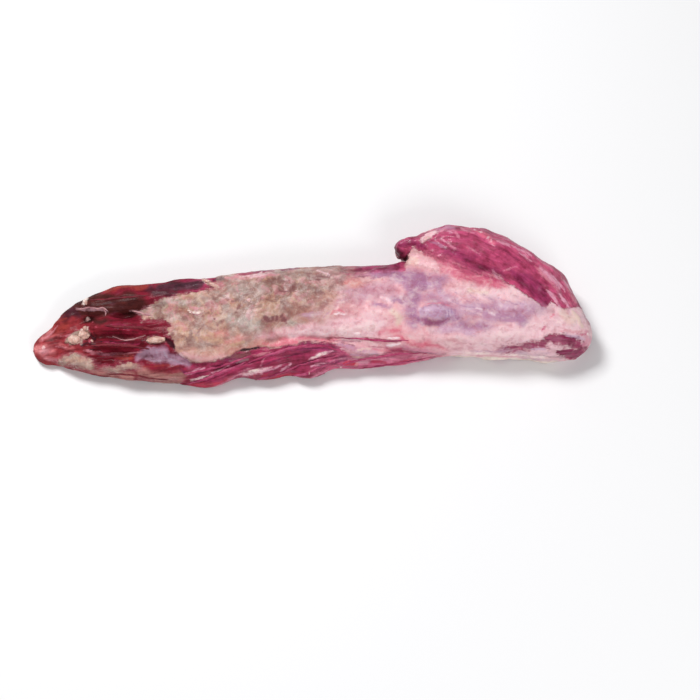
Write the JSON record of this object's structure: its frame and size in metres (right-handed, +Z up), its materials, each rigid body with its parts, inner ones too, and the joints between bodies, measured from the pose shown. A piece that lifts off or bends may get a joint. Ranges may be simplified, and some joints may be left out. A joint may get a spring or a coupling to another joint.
{
  "type": "raw whole beef tenderloin",
  "caption": "Whole raw beef tenderloin lying fat side up: a long tapered muscle with a thin tail, a stringy side strap and a wing folded against its thick head.",
  "frame": {"origin": "on the flat underside, under the middle of the meat's box", "axes": "+X from the thin tail to the thick head, +Y to the side of the wing, +Z up from the board"},
  "size_m": [0.5546, 0.1636, 0.0621],
  "materials": {
    "lean_meat": "wet satin raw muscle with fat cover and silverskin",
    "fat": "moist satin raw fat"
  },
  "bodies": {
    "root": {"tenderloin": "lean_meat"}
  },
  "joints": []
}
